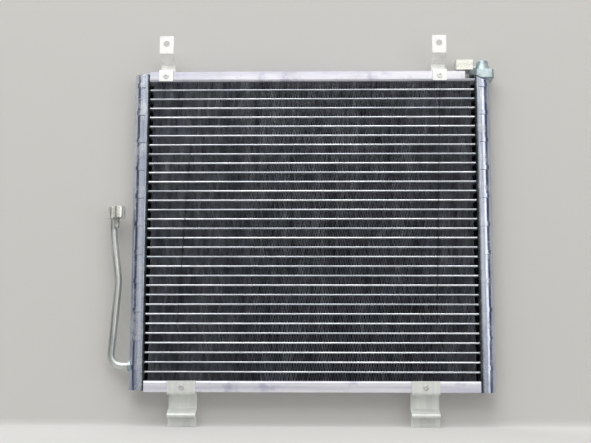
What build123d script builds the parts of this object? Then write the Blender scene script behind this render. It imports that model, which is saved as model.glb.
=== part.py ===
from build123d import *
import os

# Parallel-flow condenser for a vehicle's air conditioning, all in brazed aluminium. Flat tubes run
# across between two upright headers, with corrugated fins brazed between them. Millimetres, +Z up,
# the air enters at the front, which faces -Y. The origin is midway between the two holes of the
# upper brackets, in the middle of their sheet, because the condenser hangs from them.

# Core of flat tubes and corrugated fins
tube_count = 31
tube_pitch = 10.0
tube_thickness = 2.0
tube_depth = 16.0
tube_nose_bevel = 0.6
port_count = 2
port_web = 0.5
port_wall = 0.45
nose_wall = 1.0
core_width = 348.0
fin_end_gap = 4.0
fin_setback = 0.5
fin_leg_count = 36
fin_sheet = 0.35
first_pass_rows = 15
second_pass_rows = 10

# Headers, each of a slotted plate with claws and an arched tank
header_depth = 22.0
header_sheet = 1.4
plate_corner = 3.4
plate_rise = 6.9
tube_end_reach = 2.4
claw_spacing = 30.0
claw_height = 4.6
claw_wrap_angle = 34.0
claw_drop = 6.8
claw_slit = 1.6
claw_slit_depth = 3.0
left_header_top = 8.0
left_header_bottom = 10.0
right_header_top = 9.0
right_header_bottom = 12.0
cap_thickness = 2.0
cap_recess = 1.5
baffle_thickness = 1.5

# Side channels above and below the core
channel_depth = 20.0
channel_sheet = 1.5
channel_bend = 1.6
top_channel_height = 10.5
bottom_channel_height = 11.7
inlet_notch = 10.0

# Upper brackets and lower feet, folded from one strip thickness
strip = 1.8
strip_bend = 1.6
left_bracket_inset = 17.7
right_bracket_inset = 37.3
bracket_width = 15.0
bracket_hole = 6.8
bracket_hole_height = 41.3
bracket_top_margin = 8.5
bracket_hole_pad = 20.0
bracket_back_rise = 23.0
bracket_set_back = 16.0
left_foot_inset = 39.6
right_foot_inset = 56.8
foot_width = 29.5
foot_set_back = 15.0
foot_back_drop = 29.0
foot_rib_drop = 36.0
foot_rib_reach = -2.6
foot_toe_set_back = 10.0
foot_toe_start = 38.0
foot_drop = 47.4

# Rivets through the brackets and feet
rivet_shank = 3.2
rivet_head = 6.0
rivet_head_height = 1.0
rivet_eye = 1.8
rivet_eye_depth = 1.2
rivet_tail_length = 1.5
bracket_rivet_height = 5.6
foot_rivet_drop = 6.9

# Inlet fitting on the right header
collar_bottom = 3.0
collar_height = 9.0
collar_overhang = 4.0
collar_bevel = 6.0
collar_corner = 3.0
boss_radius = 6.4
boss_flare = 3.8
boss_flare_height = 7.0
boss_height = 11.5
boss_offset = 1.4
boss_edge = 1.2
inlet_bore = 10.0
boss_roof = 2.5
inlet_block_width = 19.4
inlet_block_depth = 18.0
inlet_block_height = 11.0
inlet_block_lift = 0.3
inlet_port = 9.8
inlet_port_depth = 7.5
inlet_bolt = 5.0
inlet_bolt_pitch = 8.6
inlet_bolt_forward = 5.0
inlet_port_inset = 6.6
inlet_block_edge = 0.8
stub_diameter = 6.4
stub_bore = 4.6
stub_set_back = 3.0
stub_lift = 4.6

# Outlet pipe and its fitting beside the left header
pipe_diameter = 8.0
pipe_bore = 5.6
pipe_outlet_height = 15.0
pipe_elbow = 12.0
pipe_inside_reach = 3.0
pipe_foot_reach = 20.6
pipe_knee_reach = 13.6
pipe_top_reach = 20.0
pipe_riser = 88.0
pipe_lean = 49.0
pipe_neck = 18.6
pipe_knee_bend = 60.0
pipe_shoulder_bend = 120.0
pipe_socket = 5.0
ferrule_diameter = 11.6
ferrule_length = 1.6
outlet_block_height = 12.1
port_lobe_radius = 6.8
bolt_lobe_radius = 6.5
bolt_lobe_x = 6.6
bolt_lobe_forward = 7.0
outlet_port = 7.6
outlet_block_edge = 0.6
stud_diameter = 5.4
stud_core = 4.6
stud_x = 4.6
stud_length = 10.6
stud_hold = 6.0
stud_end = 0.7

# Places worked out from the sizes above
fin_height = tube_pitch - tube_thickness
row_count = tube_count + 1
core_height = row_count * fin_height + tube_count * tube_thickness
core_x = (right_bracket_inset - left_bracket_inset) / 2
core_left = core_x - core_width / 2
core_right = core_x + core_width / 2
core_y = channel_depth / 2 + strip / 2
core_top = -bracket_hole_height
core_bottom = core_top - core_height
tube_levels = [
    core_top - fin_height - tube_thickness / 2 - number * tube_pitch for number in range(tube_count)
]
tube_reach = core_width / 2 + header_sheet + tube_end_reach
tank_radius = header_depth / 2 - header_sheet
tank_bore = tank_radius - header_sheet
header_width = plate_rise + tank_radius
pass_levels = [
    tube_levels[first_pass_rows - 1] - tube_pitch / 2,
    tube_levels[first_pass_rows + second_pass_rows - 1] - tube_pitch / 2,
]
os.makedirs("parts", exist_ok=True)


def write_piece(piece, name):
    """Label a finished piece and write it under its own name."""
    piece.part.label = name
    export_step(piece.part, f"parts/{name}.step")


def header_plane(side, level):
    """A level plane at a header's core-side face, its X pointing away from the core."""
    return Plane(
        origin=(core_x + side * core_width / 2, core_y, level), x_dir=(side, 0, 0), z_dir=(0, 0, 1)
    )


def profile_plane(left_edge):
    """An upright plane for folded strips, its X along world Y and its Y along world Z."""
    return Plane(origin=(left_edge, 0, 0), x_dir=(0, 1, 0), z_dir=(1, 0, 0))


# Section of one flat tube, with bevelled noses
with BuildSketch() as tube_section:
    Rectangle(tube_depth, tube_thickness)
    chamfer(tube_section.vertices(), length=tube_nose_bevel)

# Section of the passages inside a tube, with a web between them
port_width = (tube_depth - 2 * nose_wall - (port_count - 1) * port_web) / port_count
with BuildSketch() as port_section:
    with GridLocations(port_width + port_web, 0, port_count, 1):
        Rectangle(port_width, tube_thickness - 2 * port_wall)

# Flat tubes, each ending inside the headers
for number, level in enumerate(tube_levels, start=1):
    with BuildPart() as tube:
        with BuildSketch(
            Plane(origin=(core_x - tube_reach, core_y, level), x_dir=(0, 1, 0), z_dir=(1, 0, 0))
        ):
            add(tube_section.sketch)
            add(port_section.sketch, mode=Mode.SUBTRACT)
        extrude(amount=2 * tube_reach)
    write_piece(tube, f"tube_{number:02d}")

# Section of one corrugated fin strip, a folded band whose crests meet the tubes
fin_length = core_width - 2 * fin_end_gap
fin_leg_pitch = fin_length / fin_leg_count
fin_crests = [
    (leg * fin_leg_pitch, (leg % 2) * (fin_height - fin_sheet)) for leg in range(fin_leg_count + 1)
]
with BuildSketch() as fin_section:
    with BuildLine():
        underside = Polyline(*fin_crests)
        upper_side = Polyline(*[(x, z + fin_sheet) for x, z in fin_crests])
        Line(underside @ 0, upper_side @ 0)
        Line(underside @ 1, upper_side @ 1)
    make_face()

# Fin strips, one above every tube and one below the last, grouped by the refrigerant's three passes
fin_depth = tube_depth - 2 * fin_setback
pass_rows = {
    "fins_first_pass": range(0, first_pass_rows),
    "fins_second_pass": range(first_pass_rows, first_pass_rows + second_pass_rows),
    "fins_third_pass": range(first_pass_rows + second_pass_rows, row_count),
}
for name, rows in pass_rows.items():
    strip_planes = [
        Plane(
            origin=(
                core_x - fin_length / 2,
                core_y + fin_depth / 2,
                core_top - fin_height - row * tube_pitch,
            ),
            x_dir=(1, 0, 0),
            z_dir=(0, -1, 0),
        )
        for row in rows
    ]
    with BuildPart() as fins:
        with BuildSketch(*strip_planes):
            add(fin_section.sketch)
        extrude(amount=fin_depth)
    write_piece(fins, name)

# Section of a header plate: a web on the core's side and two skirts
plate_middle = header_depth / 2 - header_sheet / 2
with BuildSketch() as plate_section:
    with BuildLine():
        FilletPolyline(
            (plate_rise, -plate_middle),
            (header_sheet / 2, -plate_middle),
            (header_sheet / 2, plate_middle),
            (plate_rise, plate_middle),
            radius=plate_corner - header_sheet / 2,
        )
    trace(line_width=header_sheet)

# Section of the claws, which carry the skirts on round the tank's shoulders
with BuildSketch() as claw_section:
    with BuildLine():
        outer = CenterArc((plate_rise, 0), header_depth / 2, 90, -claw_wrap_angle)
        inner = CenterArc((plate_rise, 0), tank_radius, 90, -claw_wrap_angle)
        Line(outer @ 0, inner @ 0)
        Line(outer @ 1, inner @ 1)
    make_face()
    mirror(about=Plane.XZ)

# Section of a tank: an arch whose legs stand inside the plate's skirts
with BuildSketch() as tank_section:
    with BuildLine():
        outer_low = Line((plate_corner, -tank_radius), (plate_rise, -tank_radius))
        outer_arch = ThreePointArc(
            outer_low @ 1, (plate_rise + tank_radius, 0), (plate_rise, tank_radius)
        )
        outer_high = Line(outer_arch @ 1, (plate_corner, tank_radius))
        leg_end = Line(outer_high @ 1, (plate_corner, tank_bore))
        inner_high = Line(leg_end @ 1, (plate_rise, tank_bore))
        inner_arch = ThreePointArc(
            inner_high @ 1, (plate_rise + tank_bore, 0), (plate_rise, -tank_bore)
        )
        inner_low = Line(inner_arch @ 1, (plate_corner, -tank_bore))
        Line(inner_low @ 1, outer_low @ 0)
    make_face()

# Section of the space inside a header, which its caps and baffles fill
with BuildSketch() as header_space:
    with BuildLine():
        low_side = Line((header_sheet, -tank_bore), (plate_rise, -tank_bore))
        dome = ThreePointArc(low_side @ 1, (plate_rise + tank_bore, 0), (plate_rise, tank_bore))
        high_side = Line(dome @ 1, (header_sheet, tank_bore))
        Line(high_side @ 1, low_side @ 0)
    make_face()
    add(plate_section.sketch, mode=Mode.SUBTRACT)

# Outline of a whole header, used where the inlet collar fits over it
with BuildSketch() as header_outline:
    with Locations((plate_rise / 2, 0)):
        Rectangle(plate_rise, header_depth)
    fillet(header_outline.vertices().group_by(Axis.X)[0], radius=plate_corner)
    with Locations((plate_rise, 0)):
        Circle(tank_radius)

# Headers, left and right: plates with a slot for every tube and a pair of claws every third tube,
# with a slit below each claw that lets it fold
headers = {
    "left": (-1, core_top + left_header_top, core_bottom - left_header_bottom),
    "right": (1, core_top + right_header_top, core_bottom - right_header_bottom),
}
claw_count = int((core_height - claw_drop) // claw_spacing) + 1
claw_levels = [core_top - claw_drop - number * claw_spacing for number in range(claw_count)]
for name, (side, top, bottom) in headers.items():
    with BuildPart() as header_plate:
        with BuildSketch(header_plane(side, bottom)):
            add(plate_section.sketch)
        extrude(amount=top - bottom)
        with BuildSketch(*[header_plane(side, level) for level in claw_levels]):
            add(claw_section.sketch)
        extrude(amount=claw_height)
        with BuildSketch(*[header_plane(side, level) for level in claw_levels]):
            with Locations((plate_rise, 0)):
                Rectangle(claw_slit_depth, header_depth, align=(Align.MAX, Align.CENTER))
        extrude(amount=-claw_slit, mode=Mode.SUBTRACT)
        slot_planes = [
            Plane(
                origin=(core_x + side * core_width / 2, core_y, level),
                x_dir=(0, side, 0),
                z_dir=(side, 0, 0),
            )
            for level in tube_levels
        ]
        with BuildSketch(*slot_planes):
            add(tube_section.sketch)
        extrude(amount=header_sheet + tube_end_reach, mode=Mode.SUBTRACT)
    write_piece(header_plate, f"{name}_header_plate")

# Right tank, an arch along the whole header
side, top, bottom = headers["right"]
with BuildPart() as right_tank:
    with BuildSketch(header_plane(side, bottom)):
        add(tank_section.sketch)
    extrude(amount=top - bottom)
write_piece(right_tank, "right_tank")

# Left tank, with a hole in its crown for the outlet pipe
side, top, bottom = headers["left"]
crown_x = core_left - header_width
pipe_level = core_bottom + pipe_outlet_height
crown_plane = Plane(origin=(crown_x, core_y, pipe_level), x_dir=(0, 1, 0), z_dir=(1, 0, 0))
with BuildPart() as left_tank:
    with BuildSketch(header_plane(side, bottom)):
        add(tank_section.sketch)
    extrude(amount=top - bottom)
    with BuildSketch(crown_plane):
        Circle(pipe_diameter / 2)
    extrude(amount=tank_radius, mode=Mode.SUBTRACT)
write_piece(left_tank, "left_tank")

# Caps that close the header ends, and baffles that part the passes
plates_in_headers = {
    "left_top_cap": (-1, core_top + left_header_top - cap_recess - cap_thickness, cap_thickness),
    "left_bottom_cap": (-1, core_bottom - left_header_bottom + cap_recess, cap_thickness),
    "right_bottom_cap": (1, core_bottom - right_header_bottom + cap_recess, cap_thickness),
    "right_baffle": (1, pass_levels[0] - baffle_thickness / 2, baffle_thickness),
    "left_baffle": (-1, pass_levels[1] - baffle_thickness / 2, baffle_thickness),
}
for name, (side, level, thickness) in plates_in_headers.items():
    with BuildPart() as inner_plate:
        with BuildSketch(header_plane(side, level)):
            add(header_space.sketch)
        extrude(amount=thickness)
    write_piece(inner_plate, name)

# Side channels, folded up from sheet, their webs against the outer fins. The top one's flanges stop
# short of the inlet fitting.
channel_middle = channel_depth / 2 - channel_sheet / 2
rivet_pilot = rivet_shank / 2
bracket_centres = [core_left + left_bracket_inset, core_right - right_bracket_inset]
foot_centres = [core_left + left_foot_inset, core_right - right_foot_inset]
bracket_rivet_places = [(x, core_top + bracket_rivet_height) for x in bracket_centres]
foot_rivet_places = [(x, core_bottom - foot_rivet_drop) for x in foot_centres]
channels = {
    "top_channel": (1, core_top, top_channel_height, bracket_rivet_places),
    "bottom_channel": (-1, core_bottom, bottom_channel_height, foot_rivet_places),
}
for name, (rise, web_level, height, rivet_places) in channels.items():
    web_middle = web_level + rise * channel_sheet / 2
    flange_edge = web_level + rise * height
    with BuildPart() as channel:
        with BuildSketch(profile_plane(core_left)):
            with BuildLine():
                FilletPolyline(
                    (core_y - channel_middle, flange_edge),
                    (core_y - channel_middle, web_middle),
                    (core_y + channel_middle, web_middle),
                    (core_y + channel_middle, flange_edge),
                    radius=channel_bend,
                )
            trace(line_width=channel_sheet)
        extrude(amount=core_width)
        if name == "top_channel":
            with BuildSketch(Plane.XZ.offset(-core_y)):
                with Locations((core_right, web_middle + channel_bend)):
                    Rectangle(inlet_notch, height, align=(Align.MAX, Align.MIN))
            extrude(amount=channel_depth, both=True, mode=Mode.SUBTRACT)
        with BuildSketch(Plane.XZ.offset(-core_y)):
            with Locations(*rivet_places):
                Circle(rivet_pilot)
        extrude(amount=channel_depth, mode=Mode.SUBTRACT)
    write_piece(channel, name)

# Upper brackets: a pad riveted to the channel's front flange, a step back over the channel, an
# upright, a slope forward and the pad with the fastening hole
bracket_step = core_top + top_channel_height + strip_bend
bracket_pad_top = bracket_top_margin
bracket_pad_bottom = bracket_top_margin - bracket_hole_pad
bracket_line = [
    (0, core_top),
    (0, bracket_step),
    (bracket_set_back, bracket_step),
    (bracket_set_back, core_top + bracket_back_rise),
    (0, bracket_pad_bottom),
    (0, bracket_pad_top),
]
for name, centre in zip(("left_bracket", "right_bracket"), bracket_centres):
    with BuildPart() as bracket:
        with BuildSketch(profile_plane(centre - bracket_width / 2)):
            with BuildLine():
                FilletPolyline(*bracket_line, radius=strip_bend)
            trace(line_width=strip)
        extrude(amount=bracket_width)
        with BuildSketch(Plane.XZ):
            with Locations((centre, 0)):
                Circle(bracket_hole / 2)
            with Locations((centre, core_top + bracket_rivet_height)):
                Circle(rivet_pilot)
        extrude(amount=strip / 2, both=True, mode=Mode.SUBTRACT)
    write_piece(bracket, name)

# Lower feet: a pad riveted to the channel's front flange, a step back under it, an upright, a rib
# folded forward and a toe
foot_step = core_bottom - bottom_channel_height - strip_bend
foot_line = [
    (0, core_bottom),
    (0, foot_step),
    (foot_set_back, foot_step),
    (foot_set_back, core_bottom - foot_back_drop),
    (foot_rib_reach, core_bottom - foot_rib_drop),
    (foot_toe_set_back, core_bottom - foot_toe_start),
    (foot_toe_set_back, core_bottom - foot_drop),
]
for name, centre in zip(("left_foot", "right_foot"), foot_centres):
    with BuildPart() as foot:
        with BuildSketch(profile_plane(centre - foot_width / 2)):
            with BuildLine():
                FilletPolyline(*foot_line, radius=strip_bend)
            trace(line_width=strip)
        extrude(amount=foot_width)
        with BuildSketch(Plane.XZ):
            with Locations((centre, core_bottom - foot_rivet_drop)):
                Circle(rivet_pilot)
        extrude(amount=strip / 2, both=True, mode=Mode.SUBTRACT)
    write_piece(foot, name)

# Rivets: a head with an eye in front of the pad, a shank through pad and flange, and a set tail
rivet_grip = strip + channel_sheet
rivet_profile = [
    (0, rivet_head_height - rivet_eye_depth),
    (rivet_eye / 2, rivet_head_height - rivet_eye_depth),
    (rivet_eye / 2, rivet_head_height),
    (rivet_head / 2 - rivet_head_height / 2, rivet_head_height),
    (rivet_head / 2, 0),
    (rivet_shank / 2, 0),
    (rivet_shank / 2, -rivet_grip),
    (rivet_shank / 2 + rivet_tail_length / 2, -rivet_grip),
    (rivet_shank / 2, -rivet_grip - rivet_tail_length),
    (0, -rivet_grip - rivet_tail_length),
]
for name, places in (("bracket_rivets", bracket_rivet_places), ("foot_rivets", foot_rivet_places)):
    with BuildPart() as rivets:
        for x, z in places:
            axis_plane = Plane(origin=(x, -strip / 2, z), x_dir=(1, 0, 0), z_dir=(0, 0, -1))
            with BuildSketch(axis_plane):
                with BuildLine():
                    Polyline(*rivet_profile, close=True)
                make_face()
            revolve(axis=Axis((x, 0, z), (0, 1, 0)))
    write_piece(rivets, name)

# Inlet collar: a cast ring over the right header's top with a flared boss, hollow inside, where the
# gas comes in. Its lower edge is bevelled on the core's side.
header_middle = core_right + header_width / 2
collar_low = core_top + collar_bottom
collar_top = collar_low + collar_height
collar_width = header_width + 2 * collar_overhang
collar_depth = header_depth + collar_overhang
boss_top = collar_top + boss_height
boss_x = header_middle + boss_offset
with BuildPart() as inlet_collar:
    with BuildSketch(Plane.XY.offset(collar_low)) as ring:
        with Locations((header_middle, core_y)):
            Rectangle(collar_width, collar_depth)
        chamfer(ring.vertices().group_by(Axis.X)[0], length=collar_bevel)
        fillet(ring.vertices().group_by(Axis.X)[-1], radius=collar_corner)
    extrude(amount=collar_height)
    with BuildSketch(Plane.XZ.offset(-core_y)):
        with BuildLine():
            Polyline(
                (header_middle - collar_width / 2, collar_low),
                (core_right + collar_bevel, collar_low),
                (header_middle - collar_width / 2, collar_low + collar_bevel),
                close=True,
            )
        make_face()
    extrude(amount=collar_depth, both=True, mode=Mode.SUBTRACT)
    with BuildSketch(Plane(origin=(boss_x, core_y, collar_top), x_dir=(1, 0, 0), z_dir=(0, -1, 0))):
        with BuildLine():
            Polyline(
                (0, 0),
                (boss_radius + boss_flare, 0),
                (boss_radius, boss_flare_height),
                (boss_radius, boss_height),
                (0, boss_height),
                close=True,
            )
        make_face()
    revolve(axis=Axis((boss_x, core_y, collar_top), (0, 0, 1)))
    fillet(inlet_collar.edges().filter_by(GeomType.CIRCLE).group_by(Axis.Z)[-1], radius=boss_edge)
    with BuildSketch(header_plane(1, collar_low)):
        add(header_outline.sketch)
    extrude(amount=core_top + right_header_top - collar_low, mode=Mode.SUBTRACT)
    with BuildSketch(Plane.XY.offset(core_top + right_header_top)):
        with Locations((boss_x, core_y)):
            Circle(inlet_bore / 2)
    extrude(amount=boss_top - boss_roof - core_top - right_header_top, mode=Mode.SUBTRACT)
    stub_level = collar_top + stub_lift
    stub_plane = Plane(
        origin=(boss_x, core_y + stub_set_back, stub_level), x_dir=(0, 1, 0), z_dir=(-1, 0, 0)
    )
    with BuildSketch(stub_plane):
        Circle(stub_diameter / 2)
    extrude(amount=collar_width, mode=Mode.SUBTRACT)
write_piece(inlet_collar, "inlet_collar")

# Inlet block, drilled from above for the suction joint and its bolt, and from the side for the stub
block_right = boss_x - boss_radius - boss_flare
block_left = block_right - inlet_block_width
block_low = collar_top + inlet_block_lift
block_top = block_low + inlet_block_height
port_x = block_left + inlet_port_inset
bolt_x = port_x + inlet_bolt_pitch
with BuildPart() as inlet_block:
    with BuildSketch(Plane.XY.offset(block_low)):
        with Locations((block_right, core_y)):
            Rectangle(inlet_block_width, inlet_block_depth, align=(Align.MAX, Align.CENTER))
    extrude(amount=inlet_block_height)
    chamfer(inlet_block.edges().filter_by(Axis.Z), length=inlet_block_edge)
    with BuildSketch(Plane.XY.offset(block_top)):
        with Locations((port_x, core_y + stub_set_back)):
            Circle(inlet_port / 2)
    extrude(amount=-inlet_port_depth, mode=Mode.SUBTRACT)
    with BuildSketch(Plane.XY.offset(block_top)):
        with Locations((bolt_x, core_y - inlet_bolt_forward)):
            Circle(inlet_bolt / 2)
    extrude(amount=-inlet_block_height, mode=Mode.SUBTRACT)
    with BuildSketch(stub_plane):
        Circle(stub_diameter / 2)
    extrude(amount=boss_x - port_x, mode=Mode.SUBTRACT)
write_piece(inlet_block, "inlet_block")

# Stub pipe between the inlet block and the boss
with BuildPart() as inlet_stub:
    with BuildSketch(stub_plane.offset(inlet_bore / 2)):
        Circle(stub_diameter / 2)
        Circle(stub_bore / 2, mode=Mode.SUBTRACT)
    extrude(amount=boss_x - inlet_bore / 2 - port_x - inlet_port / 2)
write_piece(inlet_stub, "inlet_stub")

# Outlet pipe, from inside the left header out and up beside it into the fitting's socket
knee_level = pipe_level + pipe_riser
shoulder_level = knee_level + pipe_lean
outlet_low = shoulder_level + pipe_neck
pipe_line = [
    (crown_x + header_sheet + pipe_inside_reach, pipe_level),
    (crown_x - pipe_foot_reach, pipe_level),
    (crown_x - pipe_knee_reach, knee_level),
    (crown_x - pipe_top_reach, shoulder_level),
    (crown_x - pipe_top_reach, outlet_low + pipe_socket),
]
with BuildPart() as outlet_pipe:
    with BuildLine(Plane.XZ.offset(-core_y)) as pipe_path:
        FilletPolyline(*pipe_line, radius=[pipe_elbow, pipe_knee_bend, pipe_shoulder_bend])
    with BuildSketch(Plane(origin=pipe_path.line @ 0, z_dir=pipe_path.line % 0)):
        Circle(pipe_diameter / 2)
        Circle(pipe_bore / 2, mode=Mode.SUBTRACT)
    sweep()
write_piece(outlet_pipe, "outlet_pipe")

# Ferrule round the pipe, its inner end cut to the tank's arch
with BuildPart() as outlet_ferrule:
    with BuildSketch(crown_plane.offset(-ferrule_length)):
        Circle(ferrule_diameter / 2)
        Circle(pipe_diameter / 2, mode=Mode.SUBTRACT)
    extrude(amount=ferrule_length + tank_radius)
    with BuildSketch(header_plane(-1, pipe_level)):
        with Locations((plate_rise, 0)):
            Circle(tank_radius)
    extrude(amount=ferrule_diameter, both=True, mode=Mode.SUBTRACT)
write_piece(outlet_ferrule, "outlet_ferrule")

# Outlet block: a lobe brazed on the pipe's end and drilled from above as the port, and a lobe in
# front of it that holds the stud
port_lobe_x = crown_x - pipe_top_reach
bolt_lobe_place = (port_lobe_x + bolt_lobe_x, core_y - bolt_lobe_forward)
stud_place = (port_lobe_x + stud_x, core_y - bolt_lobe_forward)
with BuildPart() as outlet_block:
    with BuildSketch(Plane.XY.offset(outlet_low)):
        with Locations((port_lobe_x, core_y)):
            Circle(port_lobe_radius)
        with Locations(bolt_lobe_place):
            Circle(bolt_lobe_radius)
    extrude(amount=outlet_block_height)
    chamfer(outlet_block.faces().sort_by(Axis.Z)[-1].edges(), length=outlet_block_edge)
    with BuildSketch(Plane.XY.offset(outlet_low)):
        with Locations((port_lobe_x, core_y)):
            Circle(outlet_port / 2)
    extrude(amount=outlet_block_height, mode=Mode.SUBTRACT)
    with BuildSketch(Plane.XY.offset(outlet_low)):
        with Locations((port_lobe_x, core_y)):
            Circle(pipe_diameter / 2)
    extrude(amount=pipe_socket, mode=Mode.SUBTRACT)
    with BuildSketch(Plane.XY.offset(outlet_low)):
        with Locations(stud_place):
            Circle(stud_core / 2)
    extrude(amount=stud_hold, mode=Mode.SUBTRACT)
write_piece(outlet_block, "outlet_block")

# Stud, its core screwed up into the outlet block and its shank standing out below
with BuildPart() as outlet_stud:
    with BuildSketch(Plane.XY.offset(outlet_low - stud_length)):
        with Locations(stud_place):
            Circle(stud_diameter / 2)
    extrude(amount=stud_length)
    chamfer(outlet_stud.faces().sort_by(Axis.Z)[0].edges(), length=stud_end)
    with BuildSketch(Plane.XY.offset(outlet_low)):
        with Locations(stud_place):
            Circle(stud_core / 2)
    extrude(amount=stud_hold)
write_piece(outlet_stud, "outlet_stud")
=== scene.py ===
"""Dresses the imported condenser: its brazed core, headers, side channels, brackets and fittings.

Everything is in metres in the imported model's own frame: +Z up, the air enters at the front, which
faces -Y. New surfaces are worked out as whole arrays of points, and the folded, drawn and cast
pieces whose shape is already right are welded copies with broken edges.
"""

from __future__ import annotations

import logging
import math
from collections.abc import Callable
from dataclasses import dataclass, field
from enum import Enum

import bmesh
import bpy
import numpy as np
from mathutils import Euler, Matrix, Vector


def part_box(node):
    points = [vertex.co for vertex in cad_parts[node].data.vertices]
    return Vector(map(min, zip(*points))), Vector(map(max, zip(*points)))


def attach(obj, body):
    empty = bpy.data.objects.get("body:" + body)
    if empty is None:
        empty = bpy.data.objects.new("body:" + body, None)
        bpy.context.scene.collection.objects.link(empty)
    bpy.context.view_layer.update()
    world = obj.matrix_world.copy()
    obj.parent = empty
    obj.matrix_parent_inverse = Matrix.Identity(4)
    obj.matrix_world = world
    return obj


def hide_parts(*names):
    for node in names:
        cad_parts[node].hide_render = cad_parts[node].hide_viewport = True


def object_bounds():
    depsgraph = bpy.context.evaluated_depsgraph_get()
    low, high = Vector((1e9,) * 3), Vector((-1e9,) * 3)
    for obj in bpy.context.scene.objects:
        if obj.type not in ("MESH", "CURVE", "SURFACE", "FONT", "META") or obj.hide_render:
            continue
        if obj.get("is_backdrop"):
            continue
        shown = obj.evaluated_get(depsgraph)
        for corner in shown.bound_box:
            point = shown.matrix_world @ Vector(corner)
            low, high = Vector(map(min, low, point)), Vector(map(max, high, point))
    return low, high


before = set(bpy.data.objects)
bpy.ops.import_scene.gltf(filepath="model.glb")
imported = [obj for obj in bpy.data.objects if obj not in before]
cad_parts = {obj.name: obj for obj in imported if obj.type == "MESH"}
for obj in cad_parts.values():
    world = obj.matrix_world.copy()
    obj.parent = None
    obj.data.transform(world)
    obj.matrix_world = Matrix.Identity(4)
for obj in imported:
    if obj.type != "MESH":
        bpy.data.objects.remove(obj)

LOG = logging.getLogger("condenser")
MM = 0.001
BODY = "root"


class Grain(Enum):
    """The direction in which a piece was drawn, rolled or brushed, as stretch factors along X, Y, Z."""

    ACROSS = (0.03, 1.0, 1.0)
    UPRIGHT = (1.0, 1.0, 0.03)
    DEEP = (1.0, 0.03, 1.0)
    NONE = (1.0, 1.0, 1.0)


class Side(Enum):
    """The two headers, by the sign of their side of the core."""

    LEFT = -1
    RIGHT = 1


def linear(red: int, green: int, blue: int) -> tuple[float, float, float, float]:
    """Turn a colour as it looks on a screen, 0 to 255, into the linear light that shaders take.

    Args:
        red, green, blue: the colour's three channels.

    Returns:
        The linear colour with full opacity.
    """
    channels = [channel / 255.0 for channel in (red, green, blue)]
    light = [c / 12.92 if c <= 0.04045 else ((c + 0.055) / 1.055) ** 2.4 for c in channels]
    return (light[0], light[1], light[2], 1.0)


@dataclass
class Shape:
    """Points and faces of one surface, before they become a piece."""

    points: np.ndarray
    faces: list[np.ndarray]
    tone: np.ndarray | None = None

    def joined(self, other: Shape) -> Shape:
        """Return this shape and another as one."""
        shifted = [face + len(self.points) for face in other.faces]
        tone = None
        if self.tone is not None and other.tone is not None:
            tone = np.concatenate([self.tone, other.tone])
        return Shape(np.concatenate([self.points, other.points]), self.faces + shifted, tone)

    def outward(self) -> Shape:
        """Turn every face round if the closed surface holds a negative volume."""
        volume = 0.0
        for face in self.faces:
            corner = self.points[face]
            for k in range(1, face.shape[1] - 1):
                cross = np.cross(corner[:, k], corner[:, k + 1])
                volume += float(np.einsum("ij,ij->", corner[:, 0], cross))
        if volume < 0:
            self.faces = [face[:, ::-1] for face in self.faces]
        return self

    def piece(self, name: str, smooth_below: float = 35.0) -> bpy.types.Object:
        """Make the Blender object of this shape.

        Args:
            name: the piece's name.
            smooth_below: edges that turn by less than this many degrees are shaded smooth.

        Returns:
            The new object, at the origin.
        """
        mesh = bpy.data.meshes.new(name)
        mesh.vertices.add(len(self.points))
        mesh.vertices.foreach_set("co", self.points.astype(np.float32).ravel())
        corners = np.concatenate([face.ravel() for face in self.faces]).astype(np.int32)
        counts = np.concatenate([np.full(len(face), face.shape[1]) for face in self.faces])
        starts = np.concatenate([[0], np.cumsum(counts)[:-1]]).astype(np.int32)
        mesh.loops.add(len(corners))
        mesh.loops.foreach_set("vertex_index", corners)
        mesh.polygons.add(len(counts))
        mesh.polygons.foreach_set("loop_start", starts)
        mesh.update(calc_edges=True)
        mesh.polygons.foreach_set("use_smooth", np.ones(len(counts), dtype=bool))
        mesh.set_sharp_from_angle(angle=math.radians(smooth_below))
        if self.tone is not None:
            attribute = mesh.attributes.new("tone", "FLOAT", "POINT")
            attribute.data.foreach_set("value", self.tone.astype(np.float32))
        piece = bpy.data.objects.new(name, mesh)
        bpy.context.scene.collection.objects.link(piece)
        LOG.info("piece %s: %d points, %d faces", name, len(self.points), len(counts))
        return piece


def grid_faces(rows: int, columns: int, wrap_rows: bool, wrap_columns: bool) -> np.ndarray:
    """Join neighbouring points of a grid by quads.

    Args:
        rows, columns: how many points the grid has each way.
        wrap_rows, wrap_columns: whether the last row or column meets the first.

    Returns:
        Corner indices, four for each quad, for points stored row by row.
    """
    row = np.arange(rows if wrap_rows else rows - 1)[:, None]
    column = np.arange(columns if wrap_columns else columns - 1)[None, :]
    next_row, next_column = (row + 1) % rows, (column + 1) % columns
    quads = [
        row * columns + column,
        row * columns + next_column,
        next_row * columns + next_column,
        next_row * columns + column,
    ]
    return np.stack(np.broadcast_arrays(*quads), axis=-1).reshape(-1, 4)


def drawn_bar(rings: np.ndarray) -> Shape:
    """Close a bar from its rings of points: quads between rings, one flat face at each end.

    Args:
        rings: points of shape (rings, points in a ring, 3).

    Returns:
        The closed shape, its faces outward.
    """
    count, around, _ = rings.shape
    ring = np.arange(around)
    caps = np.stack([ring[::-1], ring + (count - 1) * around])
    return Shape(rings.reshape(-1, 3), [grid_faces(count, around, False, True), caps]).outward()


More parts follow.
